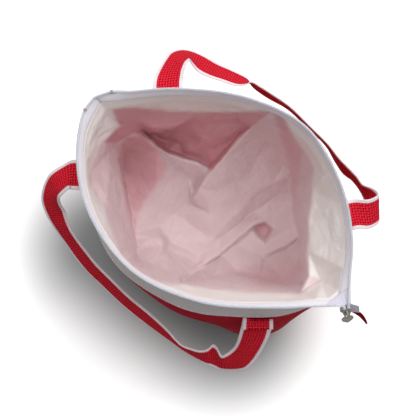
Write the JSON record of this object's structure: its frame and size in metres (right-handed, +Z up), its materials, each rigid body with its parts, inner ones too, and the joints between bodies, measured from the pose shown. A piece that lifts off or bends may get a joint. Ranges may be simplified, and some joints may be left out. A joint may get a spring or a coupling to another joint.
{
  "type": "soft cooler bag",
  "caption": "Soft insulated tote standing open: a red shell with a white top band, a thin liner, a zip along the rim and webbing carry handles.",
  "frame": {"origin": "centre of the base's flat underside", "axes": "+Z up; X along the bag towards the end of the zip; -Y is the front"},
  "size_m": [0.3673, 0.2928, 0.3177],
  "materials": {
    "shell_red": "matt woven polyester, plain weave",
    "band_white": "matt woven polyester, plain weave",
    "foam_white": "closed-cell foam sheet, matt",
    "liner_white": "thin milky film liner, soft sheen",
    "zip_white": "woven zip tape and moulded coil",
    "nickel": "nickel-plated casting, dull",
    "webbing_red": "heavy ribbed webbing with pale edges",
    "tab_red": "folded fabric tab"
  },
  "bodies": {
    "body": {"base_panel": "shell_red", "panel_front": "shell_red", "panel_back": "shell_red", "band_front": "band_white", "band_back": "band_white", "insulation_base": "foam_white", "insulation_front": "foam_white", "insulation_back": "foam_white", "liner_base": "liner_white", "liner_front": "liner_white", "liner_back": "liner_white", "zip_tape_front": "zip_white", "zip_tape_back": "zip_white", "zip_coil_front": "zip_white", "zip_coil_back": "zip_white", "zip_top_stop_front": "nickel", "zip_top_stop_back": "nickel", "zip_tail": "zip_white", "zip_chain": "zip_white", "zip_bottom_stop": "nickel", "zip_slider": "nickel", "zip_end_tab": "tab_red", "strap_front_left": "webbing_red", "strap_front_right": "webbing_red", "strap_back_left": "webbing_red", "strap_back_right": "webbing_red"},
    "front_loop": {"handle_front": "webbing_red"},
    "back_loop": {"handle_back": "webbing_red"},
    "pull": {"zip_pull": "nickel"}
  },
  "joints": [
    {"name": "handle_front_swing", "type": "hinge", "parent": "body", "child": "front_loop", "pos_m": [-0.01878, -0.0806, 0.24455], "axis": [-1, -0.0016, 0], "range_deg": [0, 112]},
    {"name": "handle_back_swing", "type": "hinge", "parent": "body", "child": "back_loop", "pos_m": [-0.01026, 0.08511, 0.24455], "axis": [0.9954, 0.0954, 0], "range_deg": [0, 112]},
    {"name": "zip_pull_flip", "type": "hinge", "parent": "body", "child": "pull", "pos_m": [0.16429, -0.0043, 0.30821], "axis": [-0.5878, -0.809, 0], "range_deg": [0, 160]}
  ]
}
